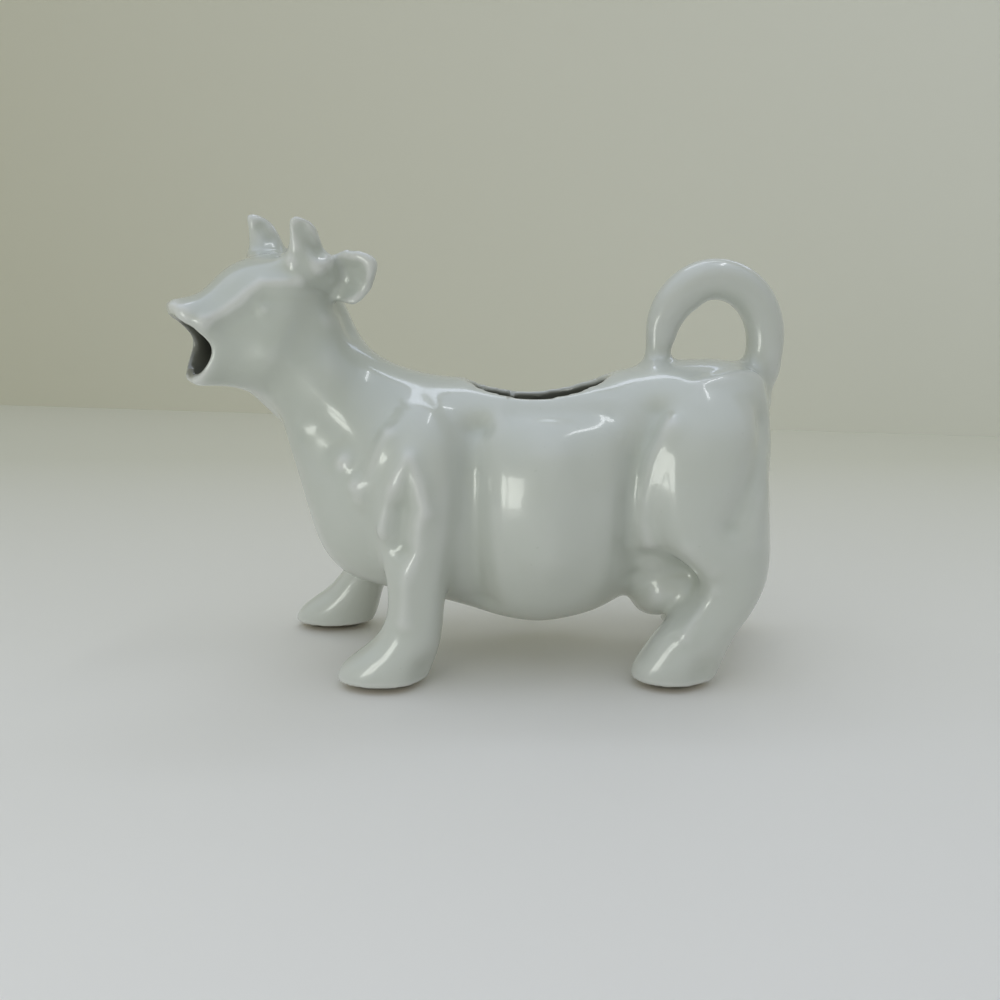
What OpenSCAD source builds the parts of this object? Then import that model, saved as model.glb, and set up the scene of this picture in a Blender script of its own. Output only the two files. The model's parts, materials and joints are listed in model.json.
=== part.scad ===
// Cow creamer: a hollow glazed cow that is filled through its back, lifted by its looped tail
// and poured from its open mouth. The cow faces -X, stands on z = 0 and turns its head to -Y.

/* [Trunk] */
// Length from the rump to the front of the chest
trunk_length = 100; // [90:1:112]
// Height of the back behind the withers
back_height = 66; // [61:1:71]
// Width of the barrel
trunk_width = 46; // [42:1:49]
// Thickness of the fired wall
wall = 2.6; // [2:0.1:3.2]

/* [Filler opening] */
// Length of the filler opening in the back
filler_length = 31; // [26:1:34]
// Width of the filler opening
filler_width = 23; // [19:1:25]

/* [Head] */
// Length from the turning point in the neck to the upper lip
head_length = 27; // [25:0.5:30]
// Height from the chin to the poll
head_height = 28; // [26:0.5:31]
// Width of the skull across the eyes
head_width = 25.6; // [23:0.2:28]
// Drop of the chin below the back
chin_drop = 2; // [-1:0.5:5]
// Turn of the head towards the left side, in degrees
head_turn = 38; // [20:1:45]
// Lean of the head towards the left side, in degrees
head_lean = 8; // [0:1:12]
// Depth of the notch between the lips
mouth_notch = 4.6; // [2:0.2:6]
// Thickness of the lip
lip_wall = 1.7; // [1.4:0.1:2.2]

/* [Ears and horns] */
// Length of an ear from the skull
ear_length = 10.8; // [9.6:0.2:12.6]
// Height of an ear at its widest
ear_height = 11; // [9:0.5:13]
// Thickness of an ear
ear_thickness = 3.6; // [2.8:0.2:4.4]
// Height of a horn above the poll
horn_height = 7; // [5:0.5:9]
// Width of a horn at its root
horn_width = 7.8; // [6.6:0.2:9]

/* [Legs] */
// Distance between the middles of the left and right feet
foot_spacing = 35.6; // [33:0.2:39]
// Width of a leg above the foot
leg_width = 12.4; // [11:0.2:13.6]
// Distance by which the right front foot leads the left one
front_stride = 18; // [0:0.5:20]
// Distance by which the right hind foot trails the left one
hind_stride = 13.5; // [0:0.5:15]

/* [Udder] */
// Depth of the udder below the middle of its swell
udder_depth = 7.6; // [6.4:0.2:8.6]
// Width of the udder
udder_width = 29; // [25:0.5:31]
// Width of a teat
teat_width = 3; // [2.4:0.1:3.6]

/* [Tail handle] */
// Distance between the centre lines of the two limbs of the loop
loop_span = 23.9; // [22:0.1:26]
// Height of the loop above the back
loop_height = 25.2; // [21:0.2:29]
// Thickness of the tail at the top of the loop
tail_thickness = 9; // [7.6:0.2:10]
// Thickness of the tail where its tip lies on the back
tail_tip_thickness = 5.8; // [5:0.2:7]

/* [Hidden] */

glaze = [0.90, 0.91, 0.89];
// Points round a section of the body, a leg, the tail and a small part
body_sides = 32;
leg_sides = 18;
tail_sides = 12;
small_sides = 14;
// Rings from one station to the next
steps = 2;

// Stations from the rump to the neck, each along the trunk length and up the back height
trunk_back_shares = [[0, 0.818], [0.008, 0.939], [0.028, 1.018], [0.08, 1.05], [0.15, 1.055],
    [0.23, 1.048], [0.312, 1.021], [0.375, 1.004], [0.49, 0.994], [0.585, 0.991], [0.645, 0.991],
    [0.72, 0.998], [0.79, 1.02], [0.835, 1.045], [0.87, 1.076], [0.892, 1.11], [0.908, 1.147],
    [0.92, 1.186]];
trunk_belly_shares = [[0, 0.667], [0.002, 0.545], [0.015, 0.439], [0.06, 0.364], [0.14, 0.311],
    [0.22, 0.29], [0.31, 0.231], [0.38, 0.179], [0.495, 0.142], [0.59, 0.161], [0.65, 0.187],
    [0.755, 0.233], [0.86, 0.267], [0.935, 0.303], [0.99, 0.386], [1.017, 0.5], [1.036, 0.621],
    [1.056, 0.736]];
// Half widths at the same stations, of half the trunk width
trunk_side_shares = [0.12, 0.36, 0.58, 0.78, 0.88, 0.9, 0.8, 0.945, 1, 0.95, 0.835, 0.865,
    0.835, 0.78, 0.71, 0.65, 0.605, 0.575];

// Stations from the throat to the lips, each along the head length and up the head height
head_top_shares = [[-0.378, 0.625], [-0.322, 0.75], [-0.23, 0.879], [-0.093, 0.971], [0.074, 1],
    [0.233, 0.982], [0.363, 0.945], [0.481, 0.9], [0.585, 0.835], [0.67, 0.755], [0.76, 0.69],
    [0.89, 0.664], [1, 0.625]];
head_jaw_shares = [[0.174, -0.336], [0.252, -0.204], [0.307, -0.121], [0.359, -0.071],
    [0.411, -0.039], [0.463, -0.018], [0.519, -0.004], [0.574, 0.004], [0.633, 0.007],
    [0.696, 0.007], [0.767, 0.007], [0.826, 0.011], [0.863, 0.029]];
head_side_shares = [1, 1, 1.01, 1.01, 1, 0.953, 0.86, 0.752, 0.651, 0.581, 0.543, 0.543,
    0.527];
// How much of the head's turn and of the lip notch each of those stations has
head_turn_shares = [0.08, 0.2, 0.42, 0.68, 0.88, 1, 1, 1, 1, 1, 1, 1, 1];
head_notch_shares = [0, 0, 0, 0, 0, 0, 0, 0, 0, 0, 0.25, 0.7, 1];

// How far the sections swell from an ellipse towards a box
trunk_box_share = 0.075;
head_box_share = 0.25;

// Stations where the neck, the head and the lips are, and where the hollow starts, clear of the rump
trunk_count = len(trunk_back_shares);
neck_index = 14;
head_index = trunk_count + 1;
lip_index = trunk_count + len(head_top_shares) - 1;
hollow_index = 2.5;

// Turning point of the head, along the trunk length and up from the chin
pivot_share = 1.035;
chin_height = back_height - chin_drop;
pivot = [-pivot_share * trunk_length, 0, chin_height + head_height / 2];

function smooth(list, u) =
    let (i = min(floor(u), len(list) - 2), f = u - i,
         a = list[max(i - 1, 0)], b = list[i], c = list[i + 1], d = list[min(i + 2, len(list) - 1)])
    b + (c - a) * f / 2 + (2 * a - 5 * b + 4 * c - d) * f * f / 2
        + (3 * b - 3 * c + d - a) * f * f * f / 2;

function turn_z(p, angle) =
    [p[0] * cos(angle) - p[1] * sin(angle), p[0] * sin(angle) + p[1] * cos(angle), p[2]];
function turn_x(p, angle) =
    [p[0], p[1] * cos(angle) - p[2] * sin(angle), p[1] * sin(angle) + p[2] * cos(angle)];
// Place of a point of the straight head once the head is turned and leans by a share of its full turn
function turned(p, share) = pivot + turn_z(turn_x(p - pivot, head_lean * share), head_turn * share);

function trunk_point(share) = [-share[0] * trunk_length, 0, share[1] * back_height];
function head_point(share) = [pivot[0] - share[0] * head_length, 0, chin_height + share[1] * head_height];

tops = concat([for (share = trunk_back_shares) trunk_point(share)],
    [for (share = head_top_shares) head_point(share)]);
bottoms = concat([for (share = trunk_belly_shares) trunk_point(share)],
    [for (share = head_jaw_shares) head_point(share)]);
sides = concat([for (share = trunk_side_shares) share * trunk_width / 2],
    [for (share = head_side_shares) share * head_width / 2]);
turns = concat([for (share = trunk_back_shares) 0], head_turn_shares);
notches = concat([for (share = trunk_back_shares) 0], head_notch_shares);
// The sections change from the trunk's kind to the head's between the neck and this station
skull_index = head_index + 2;
box_shares = [for (i = [0 : lip_index])
    let (share = min(1, max(0, (i - neck_index) / (skull_index - neck_index))))
    trunk_box_share + (head_box_share - trunk_box_share) * share];

function bulge(v, box_share) = sign(v) * pow(abs(v), 1 / (1 + box_share));

// Section of the body at a station, set in from the skin by an inset
function body_ring(u, inset) =
    let (high = smooth(tops, u), low = smooth(bottoms, u), rise_way = (high - low) / norm(high - low),
         top = high - rise_way * inset * top_wall_share(u), bottom = low + rise_way * inset,
         middle = (top + bottom) / 2, up = (top - bottom) / 2,
         side = [0, -smooth(sides, u) + inset, 0], notch = [smooth(notches, u) * mouth_notch, 0, 0],
         box_share = smooth(box_shares, u))
    [for (k = [0 : body_sides - 1])
        let (a = 360 * k / body_sides, across = bulge(cos(a), box_share), rise = bulge(sin(a), box_share))
        turned(middle + side * across + up * rise + notch * (1 - abs(rise)), smooth(turns, u))];

// The wall is thicker in the upper lip, by this share of its thickness elsewhere
upper_lip_share = 1.9;
function top_wall_share(u) =
    1 + (upper_lip_share - 1) * max(0, u - head_index) / (lip_index - head_index);
function body_inset(u) = wall + (lip_wall - wall) * max(0, u - head_index) / (lip_index - head_index);
function outer_rings(from, to) = [for (u = [from : 1 / steps : to]) body_ring(u, 0)];
function inner_rings(from, to) = [for (u = [to : -1 / steps : from]) body_ring(u, body_inset(u))];

lips = body_ring(lip_index, 0);
nose_x = min([for (p = lips) p[0]]);

// Skin through rings of points; a looped skin joins its last ring to its first and has no caps
module skin(rings, looped = false) {
    n = len(rings[0]);
    m = len(rings);
    walls = [for (i = [0 : m - (looped ? 1 : 2)], j = [0 : n - 1])
        let (a = i * n + j, b = i * n + (j + 1) % n, next = ((i + 1) % m) * n,
             c = next + j, d = next + (j + 1) % n)
        each [[a, c, b], [b, c, d]]];
    caps = looped ? [] : [[for (j = [0 : n - 1]) j], [for (j = [n - 1 : -1 : 0]) (m - 1) * n + j]];
    polyhedron([for (ring = rings) each ring], concat(walls, caps));
}

// Hollow length of the body, open at both ends
module tube(from, to) {
    skin(concat(outer_rings(from, to), inner_rings(from, to)), looped = true);
}

// Whole outer form of the body, which the limbs and the small parts are fitted to
module body_form() {
    skin(outer_rings(0, lip_index));
}

// Centre of the filler opening, along the trunk length
filler_share = 0.505;

module trunk() {
    color(glaze) seat() difference() {
        skin(concat(outer_rings(0, neck_index), inner_rings(hollow_index, neck_index)));
        translate([-filler_share * trunk_length, 0, back_height / 2])
            linear_extrude(back_height)
                scale([filler_length / filler_width, 1]) circle(d = filler_width, $fn = 48);
    }
}

module neck() {
    color(glaze) seat() tube(neck_index, head_index);
}

module head() {
    color(glaze) seat() tube(head_index, lip_index);
}

// Ear: root in the skull and its direction, in the straight head
ear_root_shares = [-0.135, 0.31, 0.855];
ear_back_angle = 35;
ear_shares = [0.84, 0.9, 0.95, 0.98, 1, 0.98, 0.91, 0.77, 0.48];
// Depth of the cup, and how far the tip curls forward and rises, of the ear height
ear_cup_share = 0.26;
ear_curl_share = 0.17;
ear_rise_share = 0.08;

function ear_ring(i, side) =
    let (n = len(ear_shares) - 1, u = i / n, h = ear_shares[i] * ear_height / 2,
         t = ear_thickness / 2 * (0.5 + ear_shares[i] / 2),
         cup = ear_cup_share * 2 * h * (1 - pow(2 * u - 1, 4)),
         root = [pivot[0] - ear_root_shares[0] * head_length, -ear_root_shares[1] * head_width,
             chin_height + ear_root_shares[2] * head_height],
         along = [sin(ear_back_angle), -cos(ear_back_angle), 0],
         face = [-cos(ear_back_angle), -sin(ear_back_angle), 0],
         tip = (face * ear_curl_share + [0, 0, ear_rise_share]) * ear_height * u * u * u)
    [for (k = [0 : small_sides - 1])
        let (a = 360 * (k + 0.5) / small_sides,
             out = t * sin(a) + cup * cos(a) * cos(a),
             p = root + along * ear_length * u + [0, 0, h * cos(a)] + face * out + tip)
        turned([p[0], p[1] * side, p[2]], 1)];

module ear(side) {
    rings = [for (i = [0 : len(ear_shares) - 1]) ear_ring(side > 0 ? i : len(ear_shares) - 1 - i, side)];
    color(glaze) seat() difference() {
        skin(rings);
        body_form();
    }
}

module left_ear() { ear(1); }
module right_ear() { ear(-1); }

// Horn: root on the poll, in the straight head
horn_root_shares = [0.085, 0.35, 0.8];
horn_shares = [1, 0.99, 0.97, 0.92, 0.84, 0.73, 0.57, 0.33];
// How far the tip leans forward and outward, of the horn width
horn_lean_share = 0.38;
horn_spread_share = 0.4;
horn_depth_share = 0.85;

function horn_ring(i, side) =
    let (n = len(horn_shares) - 1, u = i / n, r = horn_shares[i] * horn_width / 2,
         root = [pivot[0] - horn_root_shares[0] * head_length, -horn_root_shares[1] * head_width * side,
             chin_height + horn_root_shares[2] * head_height],
         rise = (1 - horn_root_shares[2]) * head_height + horn_height,
         lean = [-horn_lean_share * u * u, -side * horn_spread_share * u, 0] * horn_width,
         centre = root + lean + [0, 0, rise * (1 - pow(1 - u, 1.6))])
    [for (k = [0 : small_sides - 1])
        let (a = 360 * k / small_sides)
        turned(centre + [r * cos(a), horn_depth_share * r * sin(a), 0], 1)];

module horn(side) {
    color(glaze) seat() difference() {
        skin([for (i = [0 : len(horn_shares) - 1]) horn_ring(i, side)]);
        body_form();
    }
}

module left_horn() { horn(1); }
module right_horn() { horn(-1); }

// Leg stations: height, front edge and back edge along the trunk, middle and half width across.
// Heights are shares of the back height, edges of the trunk length, middles of half the foot
// spacing and half widths of half the leg width.
front_leg_shares = [
    [0, 0.933, 0.765, 1, 0.81], [0.018, 0.947, 0.746, 1, 0.97], [0.06, 0.942, 0.732, 0.995, 1.03],
    [0.106, 0.908, 0.723, 0.985, 1.02], [0.15, 0.87, 0.718, 0.973, 0.97],
    [0.205, 0.844, 0.713, 0.962, 0.94], [0.27, 0.832, 0.708, 0.955, 0.95],
    [0.36, 0.835, 0.699, 0.94, 1.02], [0.47, 0.85, 0.682, 0.9, 1.2],
    [0.59, 0.868, 0.66, 0.83, 1.44], [0.71, 0.877, 0.65, 0.73, 1.62],
    [0.82, 0.868, 0.66, 0.62, 1.62], [0.91, 0.835, 0.695, 0.46, 1.3],
    [0.965, 0.79, 0.745, 0.31, 0.7]];
hind_leg_shares = [
    [0, 0.288, 0.142, 0.97, 0.81], [0.018, 0.306, 0.124, 0.97, 0.97],
    [0.06, 0.306, 0.112, 0.97, 1.03], [0.106, 0.287, 0.104, 0.97, 1.03],
    [0.176, 0.257, 0.086, 0.965, 1], [0.235, 0.224, 0.06, 0.96, 1],
    [0.295, 0.187, 0.04, 0.95, 1.03], [0.364, 0.178, 0.024, 0.93, 1.13],
    [0.43, 0.222, 0.018, 0.9, 1.3], [0.51, 0.28, 0.018, 0.85, 1.5],
    [0.636, 0.304, 0.022, 0.775, 1.68], [0.742, 0.307, 0.026, 0.71, 1.76],
    [0.848, 0.3, 0.034, 0.62, 1.72], [0.94, 0.27, 0.05, 0.47, 1.35],
    [0.99, 0.22, 0.09, 0.31, 0.7]];

// The stride moves the foot as a whole and fades out between these shares of the back height
foot_share = 0.1;
stride_share = 0.75;

// Smooth fall from one to zero as x goes from zero to one
function fade(x) = let (t = min(1, max(0, x))) 1 - t * t * (3 - 2 * t);

// Section of a leg; the stride moves the foot and fades out towards the top of the leg
function leg_ring(rows, u, side, stride) =
    let (row = smooth(rows, u), height = row[0] * back_height,
         shift = stride * fade((row[0] - foot_share) / (stride_share - foot_share)),
         front = -row[1] * trunk_length + shift, back = -row[2] * trunk_length + shift,
         middle = row[3] * foot_spacing / 2, half = row[4] * leg_width / 2)
    [for (k = [0 : leg_sides - 1])
        let (a = 360 * k / leg_sides)
        [(front + back) / 2 + (back - front) / 2 * cos(a), -side * (middle + half * sin(a)), height]];

module leg(rows, side, stride) {
    last = len(rows) - 1;
    levels = side > 0 ? [for (u = [last : -1 / steps : 0]) u] : [for (u = [0 : 1 / steps : last]) u];
    color(glaze) seat() difference() {
        skin([for (u = levels) leg_ring(rows, u, side, stride)]);
        body_form();
    }
}

module front_left_leg() { leg(front_leg_shares, 1, 0); }
module front_right_leg() { leg(front_leg_shares, -1, -front_stride); }
module hind_left_leg() { leg(hind_leg_shares, 1, 0); }
module hind_right_leg() { leg(hind_leg_shares, -1, hind_stride); }

// Udder: middle of the swell along the trunk, its share of the back height, and its half length
udder_share = 0.233;
udder_height_share = 0.28;
udder_half_length_share = 0.235;
udder_sides = 28;
udder_levels = 14;
// Latitude of the small flat ends of the swell
udder_end_angle = 80;
// Teats stand this many teat widths from the middle of the udder, and this many long
teat_place_shares = [1, 1.25];
teat_length_share = 0.35;

// How far the skin is drawn down into a teat at a place on the underside
function teat_drop(x, y) =
    let (dx = abs(x) / teat_width - teat_place_shares[0], dy = abs(y) / teat_width - teat_place_shares[1])
    teat_length_share * teat_width * exp(-6 * (dx * dx + dy * dy));

function udder_ring(i) =
    let (t = udder_end_angle * (2 * i / udder_levels - 1), half_y = udder_width / 2 * cos(t),
         half_x = 2 * udder_half_length_share * half_y, z = udder_depth * sin(t))
    [for (k = [0 : udder_sides - 1])
        let (a = 360 * k / udder_sides, x = half_x * cos(a), y = half_y * sin(a),
             drop = z < 0 ? teat_drop(x, y) : 0)
        [x - udder_share * trunk_length, y, udder_height_share * back_height + z - drop]];

module udder() {
    color(glaze) seat() difference() {
        skin([for (i = [0 : udder_levels]) udder_ring(i)]);
        body_form();
    }
}

// Tail loop: its middle along the trunk; where its limbs spring above the back and end below it,
// and how far the root bends forward, as shares of the loop's height
loop_share = 0.124;
loop_spring_share = 0.28;
tail_root_share = 0.12;
tail_bend_share = 0.2;
tail_root_thickness_share = 0.93;

function tail_ring(u) =
    let (rise = (1 - loop_spring_share) * loop_height - tail_thickness / 2,
         limb = (loop_spring_share + tail_root_share) * loop_height,
         a = 180 * min(1, max(0, u)), on_arc = u >= 0 && u <= 1,
         place = on_arc ? [loop_span / 2 * cos(a), 0, rise * sin(a)]
             : u < 0 ? [loop_span / 2 - tail_bend_share * loop_height * u * u, 0, u * limb]
             : [-loop_span / 2, 0, (1 - u) * limb],
         normal = [rise * cos(a), 0, loop_span / 2 * sin(a)], across = normal / norm(normal),
         thin = u < 0.5 ? tail_root_thickness_share * tail_thickness : tail_tip_thickness,
         thick = thin + (tail_thickness - thin) * sin(a),
         centre = [-loop_share * trunk_length, 0, back_height + loop_spring_share * loop_height])
    [for (k = [0 : tail_sides - 1])
        let (b = 360 * k / tail_sides)
        centre + place + across * thick / 2 * cos(b) + [0, thick / 2 * sin(b), 0]];

module tail_handle() {
    color(glaze) seat() difference() {
        skin([for (u = [-1 : 1 / 16 : 2]) tail_ring(u)]);
        body_form();
    }
}

// The middle of the whole length, from the nose to the hock that trails or the tail, is at x = 0
hock_x = max([for (u = [0 : 1 / steps : len(hind_leg_shares) - 1],
    p = leg_ring(hind_leg_shares, u, -1, hind_stride)) p[0]]);
loop_x = max([for (u = [-1 : 1 / 16 : 0], p = tail_ring(u)) p[0]]);
rear_x = max(hock_x, loop_x);
module seat() {
    translate([-(nose_x + rear_x) / 2, 0, 0]) children();
}

trunk();
neck();
head();
left_ear();
right_ear();
left_horn();
right_horn();
udder();
front_left_leg();
front_right_leg();
hind_left_leg();
hind_right_leg();
tail_handle();
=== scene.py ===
"""White glazed cow creamer on a pale table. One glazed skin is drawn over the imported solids, softened
as a slip-cast mould softens its forms, modelled further by ridges and hollows, and parted into
the body, the head and neck, the tail loop and four feet."""

import json
import math

import bmesh
import bpy
import numpy as np
from mathutils import Matrix, Vector

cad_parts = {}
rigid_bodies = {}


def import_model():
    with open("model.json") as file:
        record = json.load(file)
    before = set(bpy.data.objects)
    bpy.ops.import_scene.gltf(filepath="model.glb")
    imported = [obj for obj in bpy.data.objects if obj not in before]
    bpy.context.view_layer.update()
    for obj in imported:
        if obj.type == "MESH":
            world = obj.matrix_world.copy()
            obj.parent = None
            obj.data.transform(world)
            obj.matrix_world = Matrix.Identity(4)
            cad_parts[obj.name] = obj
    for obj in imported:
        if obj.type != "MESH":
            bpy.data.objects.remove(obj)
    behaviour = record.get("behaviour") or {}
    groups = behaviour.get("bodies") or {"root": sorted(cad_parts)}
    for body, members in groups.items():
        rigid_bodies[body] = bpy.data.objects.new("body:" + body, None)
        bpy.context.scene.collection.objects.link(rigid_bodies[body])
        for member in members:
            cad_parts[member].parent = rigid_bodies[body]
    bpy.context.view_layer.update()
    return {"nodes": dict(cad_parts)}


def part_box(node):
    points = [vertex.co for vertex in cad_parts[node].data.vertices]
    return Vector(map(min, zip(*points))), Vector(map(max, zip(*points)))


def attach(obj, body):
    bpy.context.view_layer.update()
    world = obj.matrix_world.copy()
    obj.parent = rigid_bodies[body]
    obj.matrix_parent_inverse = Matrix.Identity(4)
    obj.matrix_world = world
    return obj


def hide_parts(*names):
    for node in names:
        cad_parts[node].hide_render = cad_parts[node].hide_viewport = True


MM = 0.001

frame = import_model()

HEAD_NODES = ("neck", "head", "left_ear", "right_ear", "left_horn", "right_horn")
FOOT_NODES = ("front_left_leg", "front_right_leg", "hind_left_leg", "hind_right_leg")

# The rump is the end of the trunk that the places on the body are measured from, in mm
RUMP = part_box("trunk")[1].x / MM
# Turning point of the head, and how far it turns and leans towards the cow's left
PIVOT = np.array([RUMP - 103.5, 0.0, 78.0])
HEAD_TURN, HEAD_LEAN = math.radians(38), math.radians(8)
# Size of the squares in the skin, in mm
MESH = 0.59

# The camera: its place in metres, how far it looks down, its lens and the width of its sensor in mm
CAMERA_PLACE = (RUMP * MM - 0.0591, -0.1718, 0.0740)
CAMERA_DOWN = math.radians(12.03)
CAMERA_LENS, CAMERA_SENSOR = 27.36, 36

# Sockets of a Mix node that mixes colours
MIX_FIRST, MIX_SECOND, MIX_RESULT = 6, 7, 2


def set_camera():
    """Camera at back height, close to the cow's left side, tilted down as the photograph's is."""
    data = bpy.data.cameras.new("camera")
    data.sensor_width = CAMERA_SENSOR
    data.lens = CAMERA_LENS
    data.clip_start = 0.01
    camera = bpy.data.objects.new("camera", data)
    bpy.context.scene.collection.objects.link(camera)
    camera.location = CAMERA_PLACE
    camera.rotation_euler = (math.radians(90) - CAMERA_DOWN, 0, 0)
    bpy.context.scene.camera = camera


def only(piece):
    """Leaves piece as the one selected and active object."""
    bpy.ops.object.select_all(action="DESELECT")
    piece.select_set(True)
    bpy.context.view_layer.objects.active = piece


def points_of(piece):
    """Places of the piece's points, in mm."""
    places = np.empty(len(piece.data.vertices) * 3, np.float32)
    piece.data.vertices.foreach_get("co", places)
    return places.reshape(-1, 3).astype(float) / MM


def normals_of(piece):
    """Arrows of length one that stand on the skin at the piece's points."""
    arrows = np.empty(len(piece.data.vertices) * 3, np.float32)
    piece.data.vertex_normals.foreach_get("vector", arrows)
    return arrows.reshape(-1, 3).astype(float)


def edges_of(piece):
    """Pairs of points that an edge joins."""
    pairs = np.empty(len(piece.data.edges) * 2, np.int32)
    piece.data.edges.foreach_get("vertices", pairs)
    return pairs.reshape(-1, 2)


def put_points(piece, points):
    """Moves the piece's points to these places, in mm."""
    piece.data.vertices.foreach_set("co", (points * MM).astype(np.float32).ravel())
    piece.data.update()


def mean_of_neighbours(values, edges):
    """Mean of each point's neighbours along the edges."""
    mean = np.empty_like(values)
    a, b = edges[:, 0], edges[:, 1]
    for column in range(values.shape[1]):
        mean[:, column] = (np.bincount(a, values[b, column], len(values))
                           + np.bincount(b, values[a, column], len(values)))
    return mean / np.bincount(edges.ravel(), minlength=len(values)).clip(1)[:, None]


def relax(values, edges, area, share=1.0):
    """Evens values out over an area in square mm; share is how far each point takes part, from 0 to 1.
    A pass takes each point half way to its neighbours' mean, once for each square the area holds."""
    half_way = np.broadcast_to(share, len(values))[:, None] / 2
    flat = values.ndim == 1
    values = values[:, None] if flat else values
    for _ in range(max(1, round(area / MESH**2))):
        values = values + half_way * (mean_of_neighbours(values, edges) - values)
    return values[:, 0] if flat else values


def crests(points, normals, edges):
    """How sharply the skin bends outwards at each point: the sum of one over its two radii in mm. The mean
    of a point's four neighbours lies a quarter of that, times the square of MESH, below the point."""
    pull = mean_of_neighbours(points, edges) - points
    return -(pull * normals).sum(1) * 4 / MESH**2


def at(ahead, out, up):
    """A place by its distances ahead of the rump, out to the cow's left and up from the table."""
    return np.array([RUMP - ahead, -out, up])


def on_head(ahead, out, up):
    """A place on the turned head, by its distances from the head's turning point before the turn."""
    turn = Matrix.Rotation(HEAD_TURN, 3, "Z") @ Matrix.Rotation(HEAD_LEAN, 3, "X")
    return PIVOT + np.array(turn @ Vector((-ahead, -out, up)))


def mirrored(place, path):
    """The same path on the cow's left and on its right."""
    return [[place(ahead, side * out, up) for ahead, out, up in path] for side in (1, -1)]


# Points of the solids' copies that lie nearer than this to one another, in mm, become one
SAME_POINT = 0.001


def skin_over(nodes, name):
    """One closed skin of even squares round copies of the solids and the clay that fills their corners."""
    bpy.ops.object.select_all(action="DESELECT")
    for node in nodes:
        frame["nodes"][node].select_set(True)
    bpy.context.view_layer.objects.active = frame["nodes"][nodes[0]]
    bpy.ops.object.duplicate()
    bpy.ops.object.join()
    piece = bpy.context.object
    bpy.ops.object.parent_clear(type="CLEAR_KEEP_TRANSFORM")
    for key in list(piece.keys()):
        del piece[key]
    piece.name = piece.data.name = name
    piece.data.materials.clear()
    fill_corners(piece)
    bpy.ops.object.mode_set(mode="EDIT")
    bpy.ops.mesh.select_all(action="SELECT")
    bpy.ops.mesh.remove_doubles(threshold=SAME_POINT * MM)
    bpy.ops.object.mode_set(mode="OBJECT")
    piece.data.remesh_voxel_size = MESH * MM
    piece.data.remesh_voxel_adaptivity = 0
    bpy.ops.object.voxel_remesh()
    bpy.ops.object.shade_smooth()
    return piece


# Corners that clay fills, on both sides: foot of the horn, root of the ear, and between udder and
# thigh; way of measuring, middle, and half width along X, Y and Z, in mm
CORNERS = (
    (on_head, (5.4, 8.0, 11.8), (2.2, 2.0, 2.4)),
    (on_head, (-1.2, 10.9, 10.6), (2.6, 2.2, 3.4)),
    (at, (18.5, 11.5, 20.5), (4.2, 4.2, 4.4)),
)


def fill_corners(piece):
    """Joins an egg of clay to the piece in each corner."""
    for place, middle, half in CORNERS:
        for (spot,) in mirrored(place, [middle]):
            bpy.ops.object.select_all(action="DESELECT")
            bpy.ops.mesh.primitive_uv_sphere_add(segments=24, ring_count=16, radius=1,
                                                 location=spot * MM, scale=np.array(half) * MM)
            piece.select_set(True)
            bpy.context.view_layer.objects.active = piece
            bpy.ops.object.join()


def in_boxes(points, nodes, margin):
    """Which points lie in the boxes of these solids, widened by a margin in mm."""
    found = np.zeros(len(points), bool)
    for node in nodes:
        low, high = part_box(node)
        low, high = np.array(low) / MM - margin, np.array(high) / MM + margin
        found |= ((points > low) & (points < high)).all(1)
    return found


# Areas in square mm over which the steps of the remesh are evened out, the bend is read, the share is
# spread and broad forms melt
STEP_AREA, BEND_AREA, SHARE_AREA, MELT_AREA = 3, 1, 1.5, 22
# Bend above which a rim starts to keep its form, and at which it keeps all of it
RIM_STARTS, RIM_KEPT = 0.25, 0.6
# How far the horns and ears, being small, take part in the melting, and the margin of their boxes in mm
SMALL_NODES = ("left_ear", "right_ear", "left_horn", "right_horn")
SMALL_SHARE, SMALL_MARGIN = 0.2, 0.3


def soften(piece):
    """Melts the facets and joins of the solids into one another; rims keep their thickness, and the
    horns and ears give way less."""
    edges = edges_of(piece)
    points = relax(points_of(piece), edges, STEP_AREA)
    put_points(piece, points)
    bend = relax(crests(points, normals_of(piece), edges), edges, BEND_AREA)
    share = 1 - np.clip((bend - RIM_STARTS) / (RIM_KEPT - RIM_STARTS), 0, 1)
    share = np.where(in_boxes(points, SMALL_NODES, SMALL_MARGIN), SMALL_SHARE, share)
    share = relax(share, edges, SHARE_AREA)
    melted = relax(points, edges, MELT_AREA, share)
    # What melting took away is melted too and given back, so that the forms don't shrink
    put_points(piece, melted + relax(points - melted, edges, MELT_AREA, share))


# Square of a length too small to matter, in square mm
NO_LENGTH = 1e-9
# Number of spreads away from its path at which a ridge or hollow has faded
FADED = 3.2


def nearest_on(path, points):
    """Distance from each point to a path, and how far along the path its nearest place is, from 0 to 1."""
    best = np.full(len(points), np.inf)
    along = np.zeros(len(points))
    runs = max(1, len(path) - 1)
    for i in range(runs):
        # A path of one place has a run of no length, which nothing may be divided by
        start, run = path[i], path[min(i + 1, len(path) - 1)] - path[i]
        t = np.clip((points - start) @ run / max(run @ run, NO_LENGTH), 0, 1)
        distance = np.linalg.norm(points - start - t[:, None] * run, axis=1)
        closer = distance < best
        best[closer] = distance[closer]
        along[closer] = (i + t[closer]) / runs
    return best, along


def mould(points, normals, path, spread, height):
    """Raises a ridge, or with a negative height presses a hollow, along a path on the skin. Both faces
    of the wall move together, so it keeps its thickness."""
    distance, along = nearest_on(path, points)
    near = distance < FADED * spread
    if not near.any():
        return
    facing = [normals[np.argmin(((points - place) ** 2).sum(1))] for place in path]
    places = np.linspace(0, 1, len(path))
    out = np.stack([np.interp(along[near], places, [f[k] for f in facing]) for k in range(3)], 1)
    points[near] += out * (height * np.exp(-0.5 * (distance[near] / spread) ** 2))[:, None]


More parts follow.
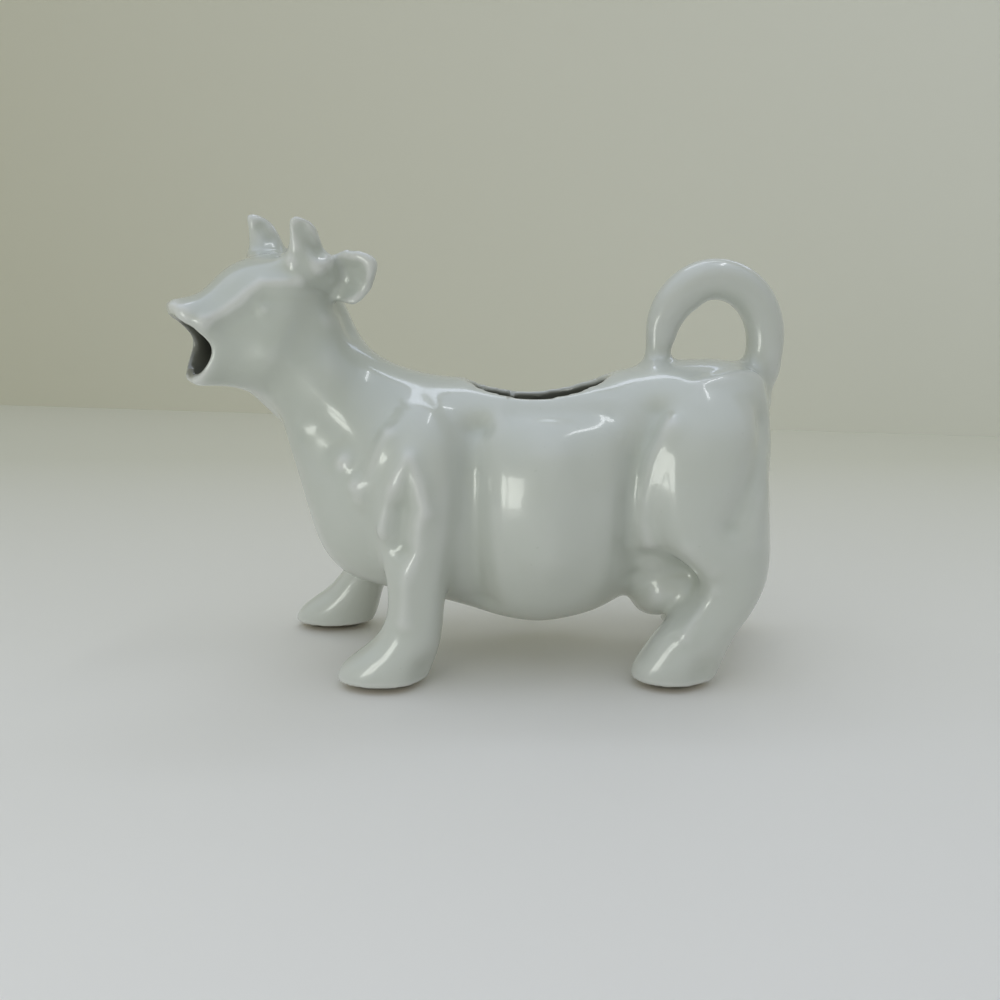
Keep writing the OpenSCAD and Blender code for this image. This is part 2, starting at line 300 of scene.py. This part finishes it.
# Ridges and hollows of the body on both sides: path of places (ahead, out, up), spread and height, in
# mm. A path on the middle line is its own mirror image, so it counts twice.
BODY_FORMS = (
    # Waists behind the shoulder and before the haunch, and the barrel between them
    ([(64.9, 15.7, 55.1), (65.2, 18.3, 47.6), (65.3, 19.1, 37.3), (64.4, 17.3, 26), (63.1, 13.3, 17.9)],
     2.7, -1.7),
    ([(27.3, 15.3, 59.2), (28.8, 16.8, 54.8), (30.8, 17.7, 49.6), (31.9, 18.8, 41.4), (31.7, 17.8, 32.7),
      (29.8, 14, 23.8)], 2.4, -1.5),
    ([(48.7, 20.9, 50.1), (48.5, 22.4, 30.7)], 5, 1.9),
    ([(56, 14.8, 59.1), (46.8, 15.5, 59), (37.1, 15.4, 59)], 2.2, -0.8),
    ([(63, 15, 56.9)], 2.0, -0.9),
    # Shoulder: ridges, the fork over the upper arm and the pocket in it
    ([(81.7, 19, 54.9), (84.5, 19.4, 49), (87.8, 18.1, 41.7)], 1.6, 0.9),
    ([(83, 21.3, 35.3), (80.5, 22.5, 44.3), (77.2, 22.2, 50.3), (75.2, 23.1, 45.4), (74.3, 23.4, 40)],
     1.5, 1.2),
    ([(79.8, 23, 39.9), (79.8, 22.9, 32.6)], 2.4, -2.0),
    ([(75.8, 23.5, 36.7), (76.5, 23.4, 32.1), (78.4, 22.8, 24.5), (79.1, 22.5, 16.3)], 1.6, 0.9),
    ([(91.5, 16.7, 48.8)], 1.6, 0.9),
    ([(88.8, 17.8, 44.4)], 1.6, 0.9),
    # Side of the neck, fuller under the cheek and hollow above the chest
    ([(102, 12.5, 68), (95.3, 12.8, 67.2)], 4.5, 1.2),
    ([(97.5, 13.8, 55.5), (94.5, 15.2, 52.5)], 3.2, -1.2),
    # Haunch, flank, hock and shank
    ([(25.1, 18.4, 56.9), (28.1, 18.3, 50.7), (29.3, 18.7, 43.5), (29.6, 18.5, 37.1), (28, 17.6, 31.5)],
     1.8, 1.1),
    ([(27.2, 16.4, 28.3), (22.8, 15.7, 27), (18, 16, 23.5)], 2.2, -1.2),
    ([(4.2, 13.8, 57.4), (6.6, 20.1, 49), (9.4, 22.8, 42.3), (12, 23.9, 37.4)], 2.4, -1.3),
    ([(7.1, 21.5, 41.6), (6.8, 22.2, 33.9)], 2.5, 0.6),
    ([(20.5, 22.8, 31.5), (16.2, 22.9, 27.3)], 2.0, 0.6),
    ([(14.7, 22.1, 22.7), (17.2, 21.7, 18), (20.3, 22.5, 13.2)], 1.4, 0.6),
    ([(18, 14.5, 63.2), (11.3, 12.4, 64.7), (6, 10, 65)], 3.0, 0.9),
    # Heels of the front and hind feet
    ([(74.4, 21, 4.6)], 2.8, -1.7),
    ([(15.3, 22.6, 4.6)], 2.8, -1.5),
    # Edge of the rump, which catches a line of light
    ([(17.8, 13.5, 64.2), (12.5, 11.8, 65.4), (8.6, 9.8, 66.2), (4.1, 7.9, 65.3)], 1.3, 0.6),
    # Udder
    ([(23.6, 13.9, 20.4), (19.9, 12.3, 19.3)], 3.0, 1.0),
)
# The tail runs down into the rump at the back, flares where it lies on the back, and thickens inside
TAIL_FORMS = (
    ([(0.2, 0, 66.5), (0.4, 0, 63.5), (0.8, 0, 60)], 2.4, 1.3),
    ([(25.5, 4.5, 68.3)], 1.5, 0.6),
    ([(21, 0, 74.5), (19.5, 0, 77.8), (17.2, 0, 80.8)], 2.2, 0.6),
)
# Ridges and hollows of the head on both sides, from its turning point
HEAD_FORMS = (
    # Edge of the forehead, which runs on along the muzzle, and the hollow under it; eye and brow
    ([(22, 6.4, 0.2), (18.2, 6.8, 2.1), (15.6, 7.8, 4.2), (13.3, 8.4, 6.4), (11.4, 8.8, 7.7),
      (8.3, 10.2, 8.1), (5.1, 11.2, 8.7)], 1.3, 1.1),
    ([(18.2, 7.3, 0.2), (15.2, 8.5, 2.7), (12.9, 9.2, 5.2), (9.5, 10.7, 6.2), (5, 11.4, 6.6)], 1.9, -0.4),
    ([(12.1, 10.3, 3.0)], 2.4, -0.5),
    ([(12.1, 10.3, 3.3)], 1.2, 0.65),
    ([(6.8, 8.1, 11.1), (6, 9.8, 9.7)], 3.0, 0.8),
    ([(5.9, 11, 12.5)], 1.2, 0.9),
    ([(1.8, 12.7, 11.7), (-0.3, 12.6, 12.6)], 1.3, 0.8),
    # Cheek and throat, and the fold under the ear
    ([(4.2, 11.6, 5.3), (5.4, 11.9, -0.7), (6.6, 11.6, -5.8)], 3.8, 1.2),
    ([(12, 3, -15.2)], 3.5, 0.4),
    ([(5, 3, -19)], 4.0, 1.7),
    ([(-0.3, 12.8, 1.1)], 2.0, 0.6),
    ([(-3.4, 10.5, 4.2), (-6.5, 9.4, 2), (-7, 11.1, -0.7)], 1.8, -0.8),
    # Flutes and rims of the horns
    ([(5.2, 13.2, 18.9), (3, 13.3, 16.5), (1, 12.8, 14.9)], 1.3, -1.3),
    ([(6.4, 12.6, 20.6), (4.9, 13.5, 20.4), (3.7, 13.6, 19.4)], 0.8, 0.5),
    ([(6.4, 12.1, 19.3), (6, 11.7, 15.8)], 1.1, 0.5),
    ([(4.5, 8.6, 18.6), (3.2, 7.6, 16.7)], 1.2, -0.9),
    # Cup of the ear, its corner and its lower edge
    ([(-4.4, 12.4, 9.4)], 3.2, -0.8),
    ([(-7.9, 18, 13.6)], 1.8, 1.0),
    ([(-7.2, 18, 8.1)], 2.0, -0.8),
    # Flat top of the nose
    ([(26, 0, 4.5)], 4.0, -0.4),
)
# Thicker places of the head's thin parts: rim and root of the ear, and the lips
HEAD_SWELLS = (
    ([(-1.8, 12.6, 14.3), (-4, 13.9, 14.9), (-6.1, 17.1, 14.8), (-7.6, 17.8, 13.8)], 1.1, 0.7),
    ([(-7.9, 18.1, 11.9), (-7.1, 18.2, 9.3), (-5.7, 16.6, 6.7), (-4.7, 15.2, 5.5)], 1.0, 0.4),
    ([(0.9, 12.6, 12.9)], 1.8, 1.2),
    ([(26, 3.8, 1.0)], 1.6, 0.8),
    ([(26.3, 0, 2.5)], 1.5, 0.35),
    ([(23.4, 2.0, -11.5)], 1.6, 0.6),
    ([(5.9, 10.5, 20.3)], 1.0, 0.4),
)
# Joins that the slip has rounded away: the foot of each horn, the root of the ear and of the tail, and
# the corner between udder and thigh; path and spread
HEAD_MELTS = (
    ([(3.6, 12.8, 13.2), (2.6, 12.6, 10.9), (3.2, 12.2, 8.5)], 3.2),
    ([(0, 12.1, 12.6), (-2.8, 10.1, 13), (-2.9, 9.9, 9.4), (-2.9, 10.9, 6.2)], 1.8),
    ([(6.2, 7.8, 13.9), (2.5, 7.8, 13.7)], 2.4),
)
BODY_MELTS = (
    ([(27, 0.8, 70.2)], 2.2),
    ([(19.5, 11, 24), (18.5, 12, 21), (18, 12, 17)], 3.2),
    ([(1, 0, 64.5)], 2.2),
)


# Areas in square mm over which joins melt and over which the finished skin is evened
JOIN_AREA, LAST_AREA = 14, 0.6
# Soles, in mm: under SOLE_EDGE the skin starts to turn in, and from SOLE_TURNED down it has gone in by
# SOLE_IN; the skin under FOOT_RIM, in the leg's box widened by FOOT_MARGIN, gives a foot's middle and width
SOLE_EDGE, SOLE_TURNED, SOLE_IN = 1.8, 1.1, 2.5
FOOT_RIM, FOOT_MARGIN = 2.4, 1


def falloff(points, path, spread):
    """1 on the path, fading to 0 away from it."""
    distance, _ = nearest_on(path, points)
    return np.exp(-0.5 * (distance / spread) ** 2)


def model_forms(piece):
    """Melts the joins, then raises the ridges, presses the hollows and turns the soles in."""
    edges = edges_of(piece)
    points = points_of(piece)
    share = np.zeros(len(points))
    for place, melts in ((at, BODY_MELTS), (on_head, HEAD_MELTS)):
        for path, spread in melts:
            for one in mirrored(place, path):
                share = np.maximum(share, falloff(points, one, spread))
    points = relax(points, edges, JOIN_AREA, share)
    put_points(piece, points)
    normals = normals_of(piece)
    for place, forms in ((at, BODY_FORMS), (at, TAIL_FORMS), (on_head, HEAD_FORMS)):
        for path, spread, height in forms:
            for one in mirrored(place, path):
                mould(points, normals, one, spread, height)
    for path, spread, height in HEAD_SWELLS:
        for one in mirrored(on_head, path):
            points += normals * (height * falloff(points, one, spread))[:, None]
    points = relax(points, edges, LAST_AREA)
    put_points(piece, undercut(points))


def undercut(points):
    """Draws the bottom of each foot in, so that the glaze ends in a curl above the bare sole."""
    points[:, 2] = np.maximum(points[:, 2], 0)
    for node in FOOT_NODES:
        foot = in_boxes(points, [node], FOOT_MARGIN) & (points[:, 2] < FOOT_RIM)
        middle = (points[foot].max(0) + points[foot].min(0)) / 2
        half = (points[foot].max(0) - points[foot].min(0)) / 2
        in_by = SOLE_IN * np.clip((SOLE_EDGE - points[foot, 2]) / (SOLE_EDGE - SOLE_TURNED), 0, 1)
        for axis in (0, 1):
            points[foot, axis] -= in_by * (points[foot, axis] - middle[axis]) / half[axis]
    return points


# Middle line of the hollow, from the rump to the lips
HOLLOW = [at(8, 0, 50), at(30, 0, 44), at(50, 0, 38), at(75, 0, 42), at(92, 0, 54), on_head(3, 0, -2),
          on_head(12, 0, -3), on_head(24, 0, -5)]
# A place on the floor of the hollow, from which the inner skin is followed
HOLLOW_FLOOR = at(50, 0, 12)
# A point is on the inner skin when its normal leans towards the middle line by at least this cosine
LEAN_IN = 0.25
# Area in square mm over which the edge of the painted shade inside the hollow is evened, and the span of
# shares it fades in
INNER_AREA, INNER_FROM, INNER_TO = 3, 0.3, 0.7


def inner_share(piece):
    """1 inside the hollow and 0 on the outer skin, followed from the floor of the hollow up to the rims."""
    points, normals, edges = points_of(piece), normals_of(piece), edges_of(piece)
    distance, along = nearest_on(HOLLOW, points)
    steps = np.linspace(0, 1, len(HOLLOW))
    middle = np.stack([np.interp(along, steps, [p[k] for p in HOLLOW]) for k in range(3)], 1)
    faces_in = ((points - middle) * normals).sum(1) < -LEAN_IN * distance
    found = np.zeros(len(points), bool)
    found[np.argmin(np.where(faces_in, np.linalg.norm(points - HOLLOW_FLOOR, axis=1), np.inf))] = True
    a, b = edges[:, 0], edges[:, 1]
    count = 0
    while found.sum() != count:
        count = found.sum()
        found[b[found[a] & faces_in[b]]] = True
        found[a[found[b] & faces_in[a]]] = True
    evened = relax(found.astype(float), edges, INNER_AREA)
    return np.clip((evened - INNER_FROM) / (INNER_TO - INNER_FROM), 0, 1)


def keep(piece, name, values):
    """Keeps one value for each point of the piece, for its material to read."""
    layer = piece.data.attributes.new(name, "FLOAT", "POINT")
    layer.data.foreach_set("value", values.astype(np.float32))


# Inner share above which a face lies deep in the hollow, and how many of those faces stay
DEEP, DEEP_KEPT = 0.999, 0.3


def thin_out_hollow(piece, inner):
    """Leaves fewer faces deep in the hollow, which is hardly seen."""
    only(piece)
    bpy.ops.object.mode_set(mode="EDIT")
    bpy.ops.mesh.select_all(action="DESELECT")
    bpy.ops.object.mode_set(mode="OBJECT")
    corners = np.empty(len(piece.data.loops), np.int32)
    piece.data.loops.foreach_get("vertex_index", corners)
    starts = np.empty(len(piece.data.polygons), np.int32)
    piece.data.polygons.foreach_get("loop_start", starts)
    piece.data.polygons.foreach_set("select", np.minimum.reduceat(inner[corners], starts) > DEEP)
    bpy.ops.object.mode_set(mode="EDIT")
    bpy.ops.mesh.select_mode(type="FACE")
    bpy.ops.mesh.decimate(ratio=DEEP_KEPT)
    bpy.ops.mesh.select_mode(type="VERT")
    bpy.ops.object.mode_set(mode="OBJECT")


# Planes that part the skin: a place, and the way to the side that becomes the new piece
NECK_CUT = (at(94.3, 0, 51) * MM, (-0.947, 0, 0.32))
LOOP_CUT = (at(30, 0, 72) * MM, (0, 0, 1))
FEET_CUT = (at(50, 0, 7) * MM, (0, 0, -1))
# A face that closes a cut faces along the arrow, with at least this cosine, and lies in the plane, within
# this distance in metres
CUT_COSINE, CUT_DEPTH = 0.999, 1e-6


def cut_off(skin, name, cut):
    """Parts the skin at a plane and closes both sides of the cut."""
    place, arrow = cut
    only(skin)
    bpy.ops.object.duplicate()
    piece = bpy.context.object
    piece.name = piece.data.name = name
    for part, inner in ((skin, False), (piece, True)):
        only(part)
        bpy.ops.object.mode_set(mode="EDIT")
        bpy.ops.mesh.select_all(action="SELECT")
        bpy.ops.mesh.bisect(plane_co=place, plane_no=arrow, clear_inner=inner, clear_outer=not inner)
        bpy.ops.mesh.select_all(action="DESELECT")
        bpy.ops.mesh.select_mode(type="EDGE")
        bpy.ops.mesh.select_non_manifold(extend=False, use_wire=False, use_boundary=True,
                                         use_multi_face=False, use_non_contiguous=False, use_verts=False)
        bpy.ops.mesh.fill(use_beauty=True)
        bpy.ops.mesh.normals_make_consistent(inside=False)
        bpy.ops.mesh.select_mode(type="VERT")
        bpy.ops.object.mode_set(mode="OBJECT")
        sharpen_cut(part, Vector(place), Vector(arrow))
    return piece


def sharpen_cut(piece, place, arrow):
    """The faces that close a cut stay flat, so the glaze runs on past the cut without a mark."""
    mesh = bmesh.new()
    mesh.from_mesh(piece.data)
    mesh.normal_update()
    for face in mesh.faces:
        faces_along = abs(face.normal.dot(arrow)) > CUT_COSINE
        if faces_along and abs((face.verts[0].co - place).dot(arrow)) < CUT_DEPTH:
            face.smooth = False
            for edge in face.edges:
                edge.smooth = False
    mesh.to_mesh(piece.data)
    mesh.free()


def part_feet(feet):
    """Four feet from the one piece that holds them all, each named after its leg."""
    only(feet)
    bpy.ops.object.mode_set(mode="EDIT")
    bpy.ops.mesh.select_all(action="SELECT")
    bpy.ops.mesh.separate(type="LOOSE")
    bpy.ops.object.mode_set(mode="OBJECT")
    named = {}
    for piece in list(bpy.context.selected_objects):
        middle = points_of(piece).mean(0)
        node = min(FOOT_NODES, key=lambda n: np.linalg.norm(
            [(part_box(n)[0][k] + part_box(n)[1][k]) / 2 / MM - middle[k] for k in (0, 1)]))
        piece.name = piece.data.name = node.replace("leg", "foot")
        named[node] = piece
    return named


# Area in square mm over which the bend is read for the glaze, and the bend at which it is thinnest
GLAZE_AREA, GLAZE_BEND = 1.2, 0.4


def shape_skin():
    """The body, the head and neck, the tail loop and the four feet, with what their glaze reads."""
    skin = skin_over(tuple(frame["nodes"]), "body")
    soften(skin)
    model_forms(skin)
    inner = inner_share(skin)
    points, edges = points_of(skin), edges_of(skin)
    bend = relax(crests(points, normals_of(skin), edges), edges, GLAZE_AREA)
    keep(skin, "inner", inner)
    keep(skin, "crest", np.clip(bend / GLAZE_BEND, -1, 1))
    thin_out_hollow(skin, inner)
    head = cut_off(skin, "head_and_neck", NECK_CUT)
    loop = cut_off(skin, "tail_loop", LOOP_CUT)
    feet = part_feet(cut_off(skin, "feet", FEET_CUT))
    return skin, head, loop, feet


def link(tree, source, target):
    """Joins an output of a node to an input."""
    tree.links.new(source, target)


def add(tree, kind, numbers=(), **settings):
    """A new node, with its settings and the numbers of its sockets, given as (socket, number)."""
    node = tree.nodes.new(kind)
    for name, value in settings.items():
        setattr(node, name, value)
    for socket, number in numbers:
        node.inputs[socket].default_value = number
    return node


def span(low, high, to_low=0.0, to_high=1.0):
    """The numbers of a Map Range node that takes low to to_low and high to to_high."""
    return ("From Min", low), ("From Max", high), ("To Min", to_low), ("To Max", to_high)


# Middle of the throat and the distances from it between which the painted shade there, drawn in the pooled
# tone, fades, in metres
THROAT = (RUMP * MM - 0.105, 0, 0.066)
THROAT_NEAR, THROAT_FAR = 0.018, 0.038
# Noises of the glaze, as scale and detail: clouds some 18 mm wide, a slow ripple of 8 mm, an orange peel
# of 1.5 mm and pinholes of 1 mm
CLOUDS, RIPPLE, PEEL, PINHOLES = (55, 2), (130, 1), (650, 1), (900, 1)
# Spans that turn the cloud noise into a shift of the bend, the bend into the share of pooled glaze in the
# hollows and of thin glaze on the ridges, the highest peaks of the pinhole noise into pinholes, and the
# peel noise into its small part of the ripple
CLOUD_SHIFT, POOLED, THINNED = (0.3, 0.7, -0.18, 0.18), (-0.1, -0.9), (0.15, 0.95)
PINHOLE_SHARE, PEEL_HEIGHT = (0.765, 0.80, 0, 0.5), (0, 1, 0, 0.07)


def glaze_coat():
    """Group: tone and surface of the glaze. It thins to a warmer white on crests and pools a little greyer
    and greener in hollows, with faint clouds, pinholes and a slow ripple. Round the throat the same greyer
    tone is painted shade, and inside the hollow a dark tone is painted shade."""
    group = bpy.data.node_groups.new("glaze_coat", "ShaderNodeTree")
    for name, kind in (("Place", "NodeSocketVector"), ("Crest", "NodeSocketFloat"),
                       ("Inner", "NodeSocketFloat"), ("Middle Tone", "NodeSocketColor"),
                       ("Pooled Glaze And Painted Shade Tone", "NodeSocketColor"), ("Thin Tone", "NodeSocketColor"),
                       ("Painted Inner Shade Tone", "NodeSocketColor")):
        group.interface.new_socket(name=name, in_out="INPUT", socket_type=kind)
    group.interface.new_socket(name="Color", in_out="OUTPUT", socket_type="NodeSocketColor")
    group.interface.new_socket(name="Height", in_out="OUTPUT", socket_type="NodeSocketFloat")
    entry, leave = group.nodes.new("NodeGroupInput"), group.nodes.new("NodeGroupOutput")

    def noise(scale, detail):
        node = add(group, "ShaderNodeTexNoise", (("Scale", scale), ("Detail", detail)))
        link(group, entry.outputs["Place"], node.inputs["Vector"])
        return node.outputs["Fac"]

    def ramped(value, *numbers):
        node = add(group, "ShaderNodeMapRange", span(*numbers))
        link(group, value, node.inputs["Value"])
        return node.outputs["Result"]

    def blend(share, first, second):
        node = add(group, "ShaderNodeMix", data_type="RGBA")
        link(group, share, node.inputs["Factor"])
        link(group, first, node.inputs[MIX_FIRST])
        link(group, second, node.inputs[MIX_SECOND])
        return node.outputs[MIX_RESULT]

    def total(first, second):
        node = add(group, "ShaderNodeMath", operation="ADD")
        link(group, first, node.inputs[0])
        link(group, second, node.inputs[1])
        return node.outputs[0]

    # Under the clouds, the glaze answers to the bend unevenly
    crest = total(entry.outputs["Crest"], ramped(noise(*CLOUDS), *CLOUD_SHIFT))
    hollows, ridges = ramped(crest, *POOLED), ramped(crest, *THINNED)
    pinholes = ramped(noise(*PINHOLES), *PINHOLE_SHARE)
    # Painted shade under the jaw: the throat is drawn in the greyer pooled tone
    throat = add(group, "ShaderNodeVectorMath", ((1, THROAT),), operation="DISTANCE")
    link(group, entry.outputs["Place"], throat.inputs[0])
    throat = ramped(throat.outputs["Value"], THROAT_NEAR, THROAT_FAR, 1, 0)
    tone = entry.outputs["Middle Tone"]
    # The inner share paints the inside of the hollow dark, as painted shade
    for share, other in ((hollows, "Pooled Glaze And Painted Shade Tone"), (throat, "Pooled Glaze And Painted Shade Tone"), (ridges, "Thin Tone"),
                         (pinholes, "Pooled Glaze And Painted Shade Tone"), (entry.outputs["Inner"], "Painted Inner Shade Tone")):
        tone = blend(share, tone, entry.outputs[other])
    link(group, tone, leave.inputs["Color"])
    ripple, peel = noise(*RIPPLE), ramped(noise(*PEEL), *PEEL_HEIGHT)
    link(group, total(ripple, peel), leave.inputs["Height"])
    return group


# Tones of the glaze, and of the bare sole from painted shade in its recess out to its warm edge
# The inner tone is painted shade: the inside of the hollow is the same white glaze, drawn dark
TONES = (("Middle Tone", (0.53, 0.555, 0.505, 1)), ("Pooled Glaze And Painted Shade Tone", (0.465, 0.495, 0.44, 1)),
         ("Thin Tone", (0.60, 0.615, 0.58, 1)), ("Painted Inner Shade Tone", (0.165, 0.17, 0.14, 1)))
SOLE_PAINTED_SHADE, SOLE_WARM = (0.11, 0.09, 0.055, 1), (0.50, 0.34, 0.18, 1)
# Heights, in metres, between which the glaze gives way to the bare sole, and up to which the sole's
# tones are spread, with the two shares of that height at which they lie
GLAZED, BARE = 0.0015, 0.0012
SOLE_HEIGHT, SHADE_AT, WARM_AT = 0.0016, 0.5, 0.8
# Roughness of the glaze's body and of its glossy surface, and strength and depth of its ripple in metres
GLAZE_ROUGHNESS, GLOSS_ROUGHNESS = 0.28, 0.09
RIPPLE_STRENGTH, RIPPLE_DEPTH = 0.5, 0.00006


def glaze(name, coat, sole):
    """Glossy white glaze over a pale body; on the feet it ends just above a bare, warm sole, whose bottom is
    painted dark as shade under the foot.
    """
    material = bpy.data.materials.new(name)
    material.use_nodes = True
    tree = material.node_tree
    shader = tree.nodes["Principled BSDF"]
    place = tree.nodes.new("ShaderNodeTexCoord").outputs["Object"]
    layer = add(tree, "ShaderNodeGroup", node_tree=coat)
    for socket, tone in TONES:
        layer.inputs[socket].default_value = tone
    link(tree, place, layer.inputs["Place"])
    # The inner share carries the painted shade inside the hollow
    for attribute, socket in (("crest", "Crest"), ("inner", "Inner")):
        reader = add(tree, "ShaderNodeAttribute", attribute_name=attribute)
        link(tree, reader.outputs["Fac"], layer.inputs[socket])
    bump = add(tree, "ShaderNodeBump", (("Strength", RIPPLE_STRENGTH), ("Distance", RIPPLE_DEPTH)))
    link(tree, layer.outputs["Height"], bump.inputs["Height"])
    link(tree, bump.outputs["Normal"], shader.inputs["Normal"])
    shader.inputs["Roughness"].default_value = GLAZE_ROUGHNESS
    shader.inputs["Coat Roughness"].default_value = GLOSS_ROUGHNESS
    if not sole:
        link(tree, layer.outputs["Color"], shader.inputs["Base Color"])
        shader.inputs["Coat Weight"].default_value = 1
        return material
    parted = tree.nodes.new("ShaderNodeSeparateXYZ")
    link(tree, place, parted.inputs["Vector"])
    bare = add(tree, "ShaderNodeMapRange", span(GLAZED, BARE))
    link(tree, parted.outputs["Z"], bare.inputs["Value"])
    height = add(tree, "ShaderNodeMapRange", span(0, SOLE_HEIGHT))
    link(tree, parted.outputs["Z"], height.inputs["Value"])
    # The bare sole runs from painted shade at the bottom up to its warm clay edge
    clay = tree.nodes.new("ShaderNodeValToRGB")
    for stop, (position, tone) in zip(clay.color_ramp.elements, ((SHADE_AT, SOLE_PAINTED_SHADE), (WARM_AT, SOLE_WARM))):
        stop.position, stop.color = position, tone
    link(tree, height.outputs["Result"], clay.inputs["Fac"])
    mix = add(tree, "ShaderNodeMix", data_type="RGBA")
    link(tree, bare.outputs["Result"], mix.inputs["Factor"])
    link(tree, layer.outputs["Color"], mix.inputs[MIX_FIRST])
    link(tree, clay.outputs["Color"], mix.inputs[MIX_SECOND])
    link(tree, mix.outputs[MIX_RESULT], shader.inputs["Base Color"])
    shine = add(tree, "ShaderNodeMath", ((0, 1),), operation="SUBTRACT")
    link(tree, bare.outputs["Result"], shine.inputs[1])
    link(tree, shine.outputs[0], shader.inputs["Coat Weight"])
    return material


def plain(name, axis, ends, colours, roughness):
    """Matt paint or laminate that passes from one colour to another between two places on an axis; the change
    of colour is painted light and shade.
    """
    material = bpy.data.materials.new(name)
    material.use_nodes = True
    tree = material.node_tree
    parted = tree.nodes.new("ShaderNodeSeparateXYZ")
    link(tree, tree.nodes.new("ShaderNodeTexCoord").outputs["Object"], parted.inputs["Vector"])
    reach = add(tree, "ShaderNodeMapRange", span(*ends))
    link(tree, parted.outputs[axis], reach.inputs["Value"])
    mix = add(tree, "ShaderNodeMix", zip((MIX_FIRST, MIX_SECOND), colours), data_type="RGBA")
    link(tree, reach.outputs["Result"], mix.inputs["Factor"])
    shader = tree.nodes["Principled BSDF"]
    link(tree, mix.outputs[MIX_RESULT], shader.inputs["Base Color"])
    shader.inputs["Roughness"].default_value = roughness
    return material


# Stage: name, place in metres, turn in degrees; its paint's name, axis, ends, two colours, roughness.
# Each plane is STAGE_SIZE metres wide.
STAGE = (
    # The table is painted lighter near the camera and darker and more olive towards the wall: painted light
    # and shade
    ("table_top", (0, 0, 0), (0, 0, 0),
     ("table", "Y", (-0.12, 0.30), ((0.82, 0.80, 0.765, 1), (0.63, 0.62, 0.51, 1)), 0.55)),
    # The wall is painted lighter and less yellow to the right: painted light
    ("wall", (-0.091, 0.548, 0), (90, 0, -16.7),
     ("wall_paint_with_painted_light", "X", (-0.45, 0.50), ((0.69, 0.675, 0.545, 1), (0.785, 0.785, 0.70, 1)), 0.9)),
)
STAGE_SIZE = 4


def set_stage():
    """Pale table top and a plain wall behind it, a little askew as in the photograph."""
    for name, place, turn, paint in STAGE:
        material = plain(*paint)
        bpy.ops.object.select_all(action="DESELECT")
        bpy.ops.mesh.primitive_plane_add(size=STAGE_SIZE, location=place,
                                         rotation=[math.radians(angle) for angle in turn])
        bpy.context.object.name = name
        bpy.context.object.data.materials.append(material)


# Room: colour of the sky by height, and its strength from the left to the right
SKY = ((0.0, (0.50, 0.50, 0.43, 1)), (0.4, (0.58, 0.59, 0.545, 1)), (1.0, (0.98, 1.07, 1.28, 1)))
SKY_LEFT, SKY_RIGHT = 0.98, 0.80
# The two panes of the window stand side by side, square to the line from the window to the body
WINDOW, PANE_ASIDE = np.array([-0.20, -0.24, 0.056]), 0.024 * np.array([0.77, -0.64, 0])
PANE = ((0, 0, 0.045), 0.040, 0.105, 0.061, (0.97, 1, 0.93))
# Lamps: name, place and aim in metres, width, height, power in watts, colour
LAMPS = (
    ("ceiling_tube", (0.42, -0.05, 1.2), (0.1, 0, 0.04), 0.46, 0.06, 0.55, (0.94, 0.97, 1)),
    ("skylight", (0.10, 0.44, 1.15), (0.1, 0, 0.04), 0.85, 0.16, 1.25, (0.86, 0.93, 1.12)),
    ("far_sheen", (0.26, 0.50, 0.40), (0.05, 0, 0.06), 0.44, 0.26, 0.75, (0.80, 0.90, 1.2)),
    ("window_left_pane", WINDOW - PANE_ASIDE, *PANE),
    ("window_right_pane", WINDOW + PANE_ASIDE, *PANE),
)


def add_lamp(name, place, aim, width, height, power, colour):
    """A soft rectangular lamp that the camera sees only in reflections."""
    data = bpy.data.lights.new(name, "AREA")
    data.shape = "RECTANGLE"
    data.size, data.size_y = width, height
    data.energy = power
    data.color = colour
    lamp = bpy.data.objects.new(name, data)
    bpy.context.scene.collection.objects.link(lamp)
    lamp.location = place
    lamp.rotation_euler = (Vector(aim) - Vector(place)).to_track_quat("-Z", "Y").to_euler()
    lamp.visible_camera = False


def light_room():
    """A cool ceiling over a warmer room, one long lamp and a skylight overhead, a low sheen from behind
    and a tall window of two panes."""
    world = bpy.data.worlds.new("room")
    bpy.context.scene.world = world
    world.use_nodes = True
    tree = world.node_tree
    background = tree.nodes["Background"]
    parted = tree.nodes.new("ShaderNodeSeparateXYZ")
    link(tree, tree.nodes.new("ShaderNodeTexCoord").outputs["Generated"], parted.inputs["Vector"])
    sky = tree.nodes.new("ShaderNodeValToRGB")
    sky.color_ramp.elements.new(SKY[1][0])
    for stop, (position, colour) in zip(sky.color_ramp.elements, SKY):
        stop.position, stop.color = position, colour
    link(tree, parted.outputs["Z"], sky.inputs["Fac"])
    link(tree, sky.outputs["Color"], background.inputs["Color"])
    side = add(tree, "ShaderNodeMapRange", span(-1, 1, SKY_LEFT, SKY_RIGHT))
    link(tree, parted.outputs["X"], side.inputs["Value"])
    link(tree, side.outputs["Result"], background.inputs["Strength"])
    for lamp in LAMPS:
        add_lamp(*lamp)


set_camera()
body, head, loop, feet = shape_skin()
coat = glaze_coat()
white = glaze("white_glaze", coat, sole=False)
sole = glaze("white_glaze_over_bare_sole_and_painted_shade", coat, sole=True)
for piece, replaced, slot, material in (
        (body, ("trunk", "udder", *FOOT_NODES), "glaze_body", white),
        (head, HEAD_NODES, "glaze_head", white), (loop, ("tail_handle",), "glaze_handle", white),
        *((foot, (node,), "glaze_legs", sole) for node, foot in feet.items())):
    piece.data.materials.append(material)
    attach(piece, "root")
    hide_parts(*replaced)
set_stage()
light_room()
bpy.context.scene.view_settings.view_transform = "Standard"
